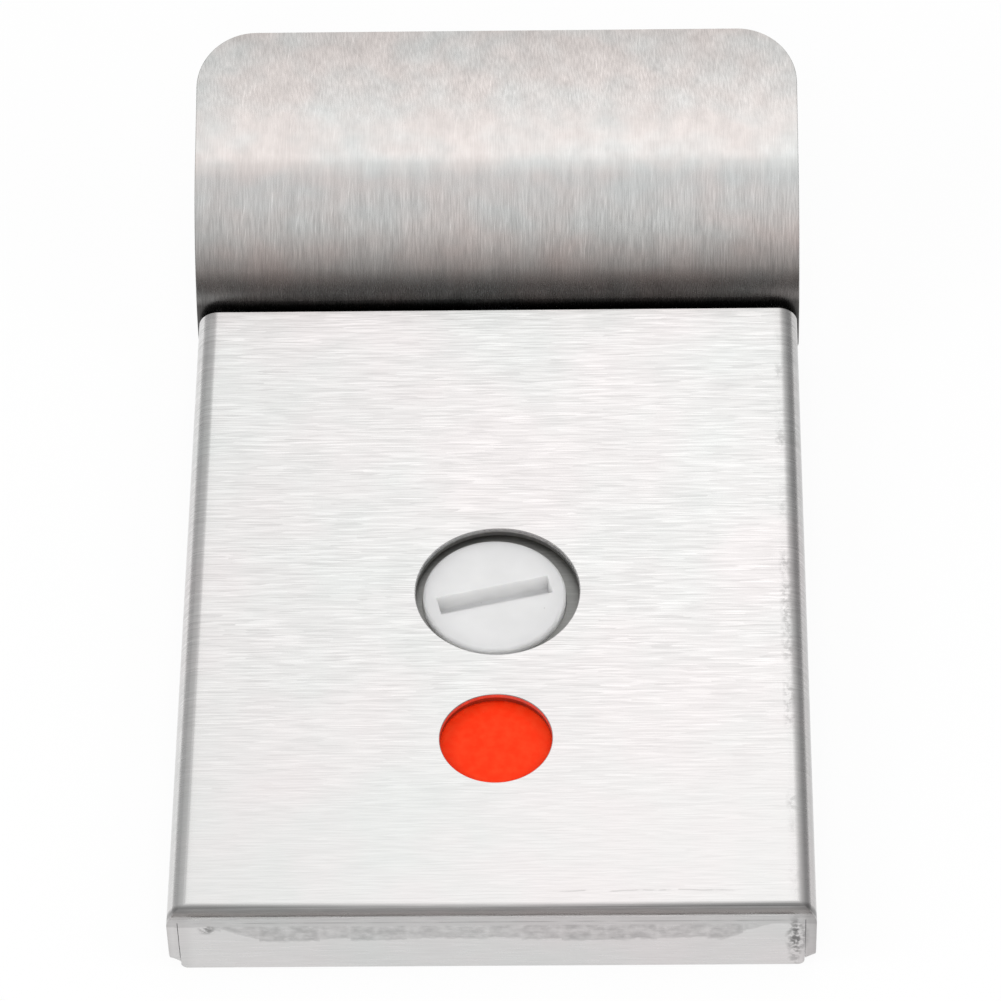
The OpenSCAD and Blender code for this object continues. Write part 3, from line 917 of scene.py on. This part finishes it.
# Painted shade: both side flanges are greyed
on_side = add(tree, "MapRange", {
    "Value": aside,
    "From Min": side_start + 1.4,
    "From Max": side_start + 2.2,
}, interpolation_type="SMOOTHSTEP").outputs["Result"]
painted_side_shade = add(tree, "Mix", {0: on_side, 2: 1.0, 3: 0.84}, data_type="FLOAT").outputs[0]
# Painted shade on the outer part of the right-hand bend and the right flange
on_right = add(tree, "MapRange", {
    "Value": along,
    "From Min": side_start + 0.5,
    "From Max": side_start + 1.4,
}, interpolation_type="SMOOTHSTEP").outputs["Result"]
painted_right_shade = add(tree, "Mix", {0: on_right, 2: 1.0, 3: 0.77}, data_type="FLOAT").outputs[0]
off_scuff = add(tree, "Math", {0: along, 1: side_start}, operation="SUBTRACT").outputs[0]
scuffed = product(tree, [
    add(tree, "MapRange", {
        "Value": add(tree, "Math", {0: off_scuff}, operation="ABSOLUTE").outputs[0],
        "From Min": 0.7,
        "From Max": 0.2,
    }).outputs["Result"],
    add(tree, "MapRange", {
        "Value": marks(tree, sheet, 9, 60),
        "From Min": 0.45,
        "From Max": 0.6,
    }).outputs["Result"],
    add(tree, "MapRange", {"Value": speckle, "From Min": 0.4, "From Max": 0.6}).outputs["Result"],
])
scuff_tone = add(tree, "Mix", {0: scuffed, 2: 1.0, 3: 0.7}, data_type="FLOAT").outputs[0]
cut_edge = add(tree, "Attribute", {}, attribute_name="sheared").outputs["Fac"]
point = add(tree, "TexCoord", {}).outputs["Object"]
burnished = add(tree, "MapRange", {
    "Value": add(tree, "SeparateXYZ", {"Vector": point}).outputs["Z"],
    "From Min": (cover_high.z - burnish_h - burnish_fade) * MM,
    "From Max": (cover_high.z - burnish_h) * MM,
    "To Min": 0.42,
    "To Max": 1.08,
}).outputs["Result"]
cut_tone = add(tree, "Mix", {0: cut_edge, 2: 1.0, 3: burnished}, data_type="FLOAT").outputs[0]

strokes = add(tree, "TexVoronoi", {
    "W": along,
    "Scale": 1 / press_w,
}, voronoi_dimensions="1D").outputs["Color"]
gaps = add(tree, "TexVoronoi", {
    "W": along,
    "Scale": 1 / press_w,
}, voronoi_dimensions="1D", feature="DISTANCE_TO_EDGE").outputs["Distance"]
edge = add(tree, "MapRange", {
    "Value": strokes,
    "To Min": press_depth - 0.5,
    "To Max": press_depth + 0.5,
}).outputs["Result"]
edge = add(tree, "Math", {
    0: edge,
    1: add(tree, "MapRange", {
        "Value": aside,
        "From Min": press_full,
        "From Max": press_end,
        "To Max": -press_depth,
    }).outputs["Result"],
}, operation="ADD").outputs[0]
edge = add(tree, "Math", {0: mottle, 1: 0.8, 2: edge}, operation="MULTIPLY_ADD").outputs[0]
pressed = product(tree, [
    add(tree, "MapRange", {
        "Value": add(tree, "Math", {0: edge, 1: depth}, operation="SUBTRACT").outputs[0],
        "From Min": -0.1,
        "From Max": 0.15,
    }).outputs["Result"],
    add(tree, "MapRange", {
        "Value": depth,
        "From Min": neck_end,
        "From Max": neck_end + neck_fade,
    }).outputs["Result"],
    add(tree, "MapRange", {"Value": gaps, "From Max": 0.12, "To Min": 0.7}).outputs["Result"],
    add(tree, "MapRange", {"Value": strokes, "To Min": 0.6}).outputs["Result"],
])
press_tone = add(tree, "MapRange", {
    "Value": mottle,
    "From Min": 0.3,
    "From Max": 0.7,
    "To Min": 0.58,
    "To Max": 0.84,
}).outputs["Result"]
press_tone = add(tree, "Mix", {0: pressed, 2: 1.0, 3: press_tone}, data_type="FLOAT").outputs[0]

# A thin line of painted shade standing in for a crease just below the front bend
crease = add(tree, "Math", {0: depth, 1: crease_depth}, operation="SUBTRACT").outputs[0]
crease = product(tree, [
    add(tree, "MapRange", {
        "Value": add(tree, "Math", {0: crease}, operation="ABSOLUTE").outputs[0],
        "From Min": 0.14,
        "From Max": 0.03,
    }).outputs["Result"],
    add(tree, "MapRange", {
        "Value": marks(tree, sheet, 60, 5),
        "From Min": 0.3,
        "From Max": 0.55,
    }).outputs["Result"],
    add(tree, "MapRange", {
        "Value": aside,
        "From Min": seam_x - 1,
        "From Max": seam_x - 3,
    }).outputs["Result"],
])
painted_crease_shade = add(tree, "Mix", {0: crease, 2: 1.0, 3: 0.74}, data_type="FLOAT").outputs[0]

wander = add(tree, "Math", {
    0: marks(tree, sheet, 60, 5),
    1: -0.4,
    2: 0.2 - score_across,
}, operation="MULTIPLY_ADD").outputs[0]
off_line = add(tree, "Math", {0: across, 1: wander}, operation="ADD").outputs[0]
off_middle = add(tree, "Math", {0: along, 1: score_middle}, operation="SUBTRACT").outputs[0]
scored = product(tree, [
    add(tree, "MapRange", {
        "Value": add(tree, "Math", {0: off_line}, operation="ABSOLUTE").outputs[0],
        "From Min": 0.12,
        "From Max": 0.03,
    }).outputs["Result"],
    add(tree, "MapRange", {
        "Value": add(tree, "Math", {0: off_middle}, operation="ABSOLUTE").outputs[0],
        "From Min": score_half,
        "From Max": score_half - 3,
    }).outputs["Result"],
    add(tree, "MapRange", {
        "Value": marks(tree, sheet, 60, 1.4),
        "From Min": 0.38,
        "From Max": 0.55,
    }).outputs["Result"],
])
score_tone = add(tree, "Mix", {0: scored, 2: 1.0, 3: 0.78}, data_type="FLOAT").outputs[0]

shades = [ground, painted_flange_shade, neck_tone, painted_bend_shade, painted_side_shade, painted_right_shade, scuff_tone]
shades += [cut_tone, press_tone, painted_crease_shade, score_tone]
for (patch_across, patch_along), (reach_across, reach_along) in dirt_patches:
    offset = add(tree, "Mapping", {
        "Vector": sheet,
        "Location": (patch_across, patch_along, 0),
        "Scale": (reach_across, reach_along, 1),
    }, vector_type="TEXTURE").outputs["Vector"]
    away = add(tree, "VectorMath", {0: offset}, operation="LENGTH").outputs["Value"]
    dirty = product(tree, [
        add(tree, "MapRange", {"Value": away, "From Min": 1.1, "From Max": 0.4}).outputs["Result"],
        add(tree, "MapRange", {"Value": speckle, "From Min": 0.36, "From Max": 0.6}).outputs["Result"],
    ])
    shades.append(add(tree, "Mix", {0: dirty, 2: 1.0, 3: 0.42}, data_type="FLOAT").outputs[0])

stain = add(tree, "TexNoise", {"Vector": point, "Scale": 1 / (14 * MM), "Detail": 3.0}).outputs["Fac"]
tone = add(tree, "ValToRGB", {"Fac": stain}, stops=[
    (0.35, rgb("#E3E4E3")),
    (0.65, rgb("#E8E4E4")),
]).outputs["Color"]
colour = add(tree, "VectorMath", {
    0: tone,
    "Scale": product(tree, shades),
}, operation="SCALE").outputs["Vector"]
rough = add(tree, "MapRange", {
    "Value": mark,
    "From Min": 0.3,
    "From Max": 0.7,
    "To Min": 0.25,
    "To Max": 0.17,
}).outputs["Result"]
for worn, more in ((on_flange, 0.1), (front_bend, 0.1), (side_bend, 0.1), (cut_edge, 0.25)):
    rough = add(tree, "Math", {0: worn, 1: more, 2: rough}, operation="MULTIPLY_ADD").outputs[0]
grooves = add(tree, "Bump", {"Height": mark, "Strength": 0.045, "Distance": 0.03 * MM}).outputs["Normal"]
steel = add(tree, "BsdfPrincipled", {
    "Base Color": colour,
    "Metallic": 1.0,
    "Roughness": rough,
    "Anisotropic": 0.5,
    "Tangent": add(tree, "Tangent", {}, direction_type="UV_MAP", uv_map="sheet").outputs["Tangent"],
    "Normal": grooves,
})
add(tree, "OutputMaterial", {"Surface": steel.outputs["BSDF"]})
cover.data.materials.append(cover_steel)
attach(cover, "plate")
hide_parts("cover")


# Studio: a white table under a large soft light behind and above the plate. The room is dim in front and
# at the sides, most of all on the right. Three softboxes fill the white and coloured parts and aren't
# mirrored in the steel.

table_w = 12.0
table_gap = 0.1 * MM
lit_from = (0, 0.6, 0.8)
softbox_w = 0.45

bpy.ops.mesh.primitive_plane_add(size=table_w, location=(0, 0, -table_gap))
table = bpy.context.object
table.name = "studio_table"
table_white, tree = material_of("studio_table_white")
path = add(tree, "LightPath", {})
seen = add(tree, "Math", {
    0: path.outputs["Is Camera Ray"],
    1: path.outputs["Is Glossy Ray"],
}, operation="MAXIMUM").outputs[0]
seen = add(tree, "Math", {0: seen, 1: path.outputs["Is Transmission Ray"]}, operation="MAXIMUM").outputs[0]
share = add(tree, "Math", {0: seen, 1: 0.92}, operation="MULTIPLY").outputs[0]
cloth = add(tree, "BsdfDiffuse", {"Color": rgb("#F4F4F4")})
glow = add(tree, "Emission", {"Color": (1, 1, 1, 1), "Strength": 1.0})
both = add(tree, "MixShader", {0: share, 1: cloth.outputs["BSDF"], 2: glow.outputs["Emission"]})
add(tree, "OutputMaterial", {"Surface": both.outputs["Shader"]})
table.data.materials.append(table_white)

world = bpy.data.worlds.new("studio_light")
bpy.context.scene.world = world
world.use_nodes = True
tree = world.node_tree
tree.nodes.clear()
direction = add(tree, "TexCoord", {}).outputs["Generated"]
height = add(tree, "VectorMath", {0: direction, 1: lit_from}, operation="DOT_PRODUCT").outputs["Value"]
level = add(tree, "MapRange", {"Value": height, "From Min": -1.0, "From Max": 1.0}).outputs["Result"]
light = add(tree, "ValToRGB", {"Fac": level}, stops=[
    (0.21, (0.04, 0.036, 0.034, 1)),
    (0.30, (0.25, 0.231, 0.224, 1)),
    (0.44, (0.57, 0.537, 0.526, 1)),
    (0.58, (0.80, 0.79, 0.784, 1)),
    (0.72, (0.90, 0.90, 0.90, 1)),
    (0.875, (0.93, 0.935, 0.94, 1)),
    (0.895, (1.13, 1.135, 1.13, 1)),
    (1.00, (1.18, 1.18, 1.175, 1)),
]).outputs["Color"]
to_right = add(tree, "SeparateXYZ", {"Vector": direction}).outputs["X"]
aside = add(tree, "Math", {0: to_right, 1: 0.06}, operation="SUBTRACT").outputs[0]
aside = add(tree, "Math", {0: aside}, operation="ABSOLUTE").outputs[0]
panel = add(tree, "MapRange", {
    "Value": aside,
    "From Min": 0.36,
    "From Max": 0.05,
    "To Min": 0.45,
    "To Max": 1.0,
}, interpolation_type="SMOOTHSTEP").outputs["Result"]
right_side = add(tree, "MapRange", {
    "Value": to_right,
    "From Min": 0.4,
    "From Max": 0.6,
    "To Min": 1.0,
    "To Max": 0.75,
}).outputs["Result"]
sky = add(tree, "Background", {"Color": light, "Strength": product(tree, [panel, right_side])})
add(tree, "OutputWorld", {"Surface": sky.outputs["Background"]})

for name, place, power in (
    ("softbox_left", (-0.53, -0.12, 0.43), 1.3),
    ("softbox_right", (0.53, -0.12, 0.43), 1.0),
    ("softbox_front", (0.0, -0.44, 0.56), 1.9),
):
    bpy.ops.object.light_add(type="AREA", location=place)
    lamp = bpy.context.object
    lamp.name = name
    lamp.data.shape = "DISK"
    lamp.data.size = softbox_w
    lamp.data.energy = power
    lamp.visible_glossy = False
    lamp.rotation_euler = (-lamp.location).to_track_quat("-Z", "Y").to_euler()

# Camera: a long lens from in front of the plate and above it, turned a little about its own axis.
turn, rise, roll = (math.radians(a) for a in (1.812, 48.994, -1.804))
target = Vector((0.496, 11.767, 8.0)) * MM
distance = 584.467 * MM
away = Vector((math.sin(turn) * math.cos(rise), -math.cos(turn) * math.cos(rise), math.sin(rise)))
bpy.ops.object.camera_add()
camera = bpy.context.object
camera.data.lens = 215.7
camera.data.sensor_width = 36
camera.data.clip_start = 0.01
camera.matrix_world = (
    Matrix.Translation(target + away * distance)
    @ Matrix.Rotation(turn, 4, "Z")
    @ Matrix.Rotation(math.radians(90) - rise, 4, "X")
    @ Matrix.Rotation(roll, 4, "Z")
)
bpy.context.scene.camera = camera
bpy.context.scene.view_settings.view_transform = "Standard"
